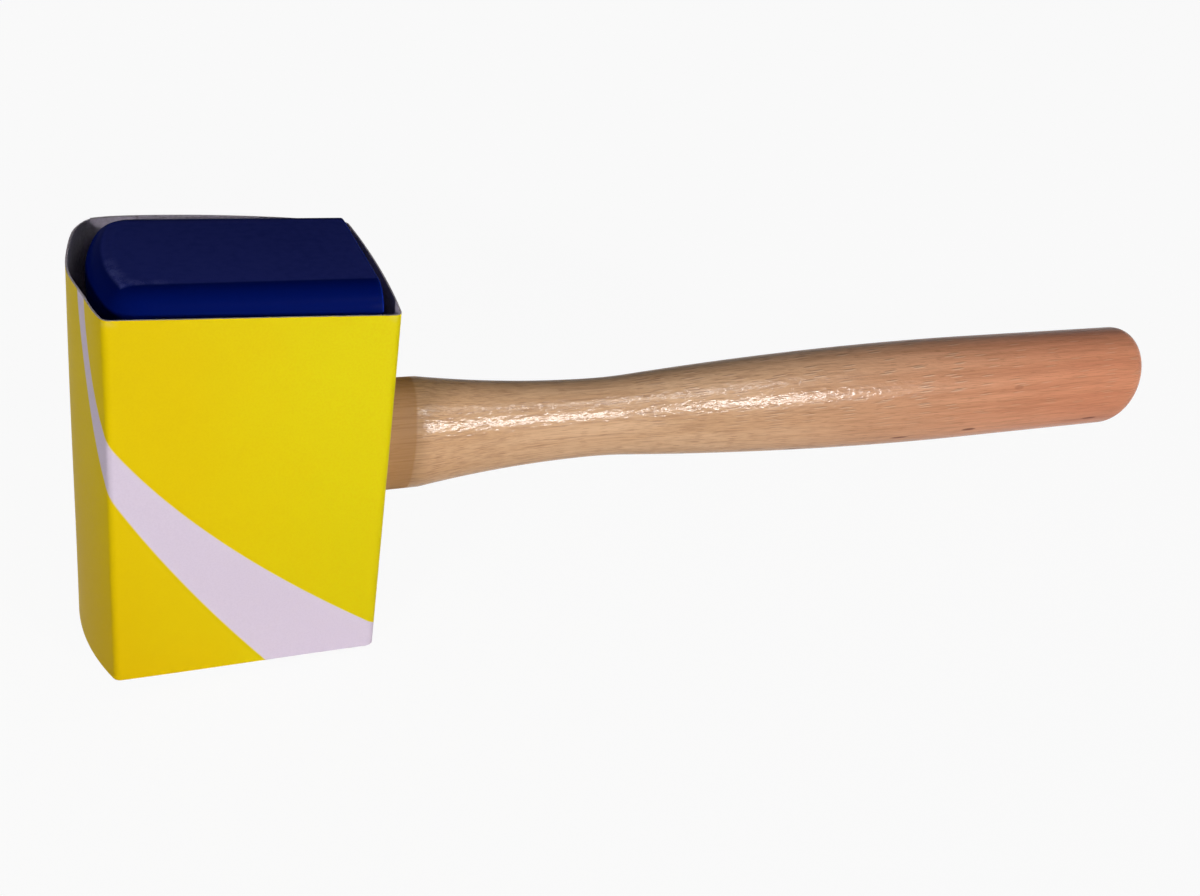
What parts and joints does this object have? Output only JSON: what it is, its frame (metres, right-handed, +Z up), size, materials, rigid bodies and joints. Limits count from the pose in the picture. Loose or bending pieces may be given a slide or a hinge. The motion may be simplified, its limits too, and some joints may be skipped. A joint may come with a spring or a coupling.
{
  "type": "soft face mallet",
  "caption": "Soft-head mallet: rolled-edge block of damping polymer cast on an oval wooden handle, held in a printed paperboard sleeve that slides off.",
  "frame": {"origin": "centre of the lower striking face", "axes": "+X along the handle to its butt, +Z up the striking axis to the other striking face, -Y out of the flat front panel of the sleeve"},
  "size_m": [0.3402, 0.0571, 0.1016],
  "materials": {
    "polymer": "matte cast polymer, slightly glossy on the rolled edges",
    "beech": "lacquered, raw near the head",
    "dowel_wood": "raw",
    "printed_board": "printed and varnished outside, grey inside"
  },
  "bodies": {
    "mallet": {"head_block": "polymer", "handle": "beech", "anchor_dowel": "dowel_wood"},
    "sleeve": {"sleeve": "printed_board"}
  },
  "joints": [
    {"name": "sleeve_slide", "type": "slide", "parent": "mallet", "child": "sleeve", "axis": [0, 0, 1], "range_m": [0, 0.1]}
  ]
}
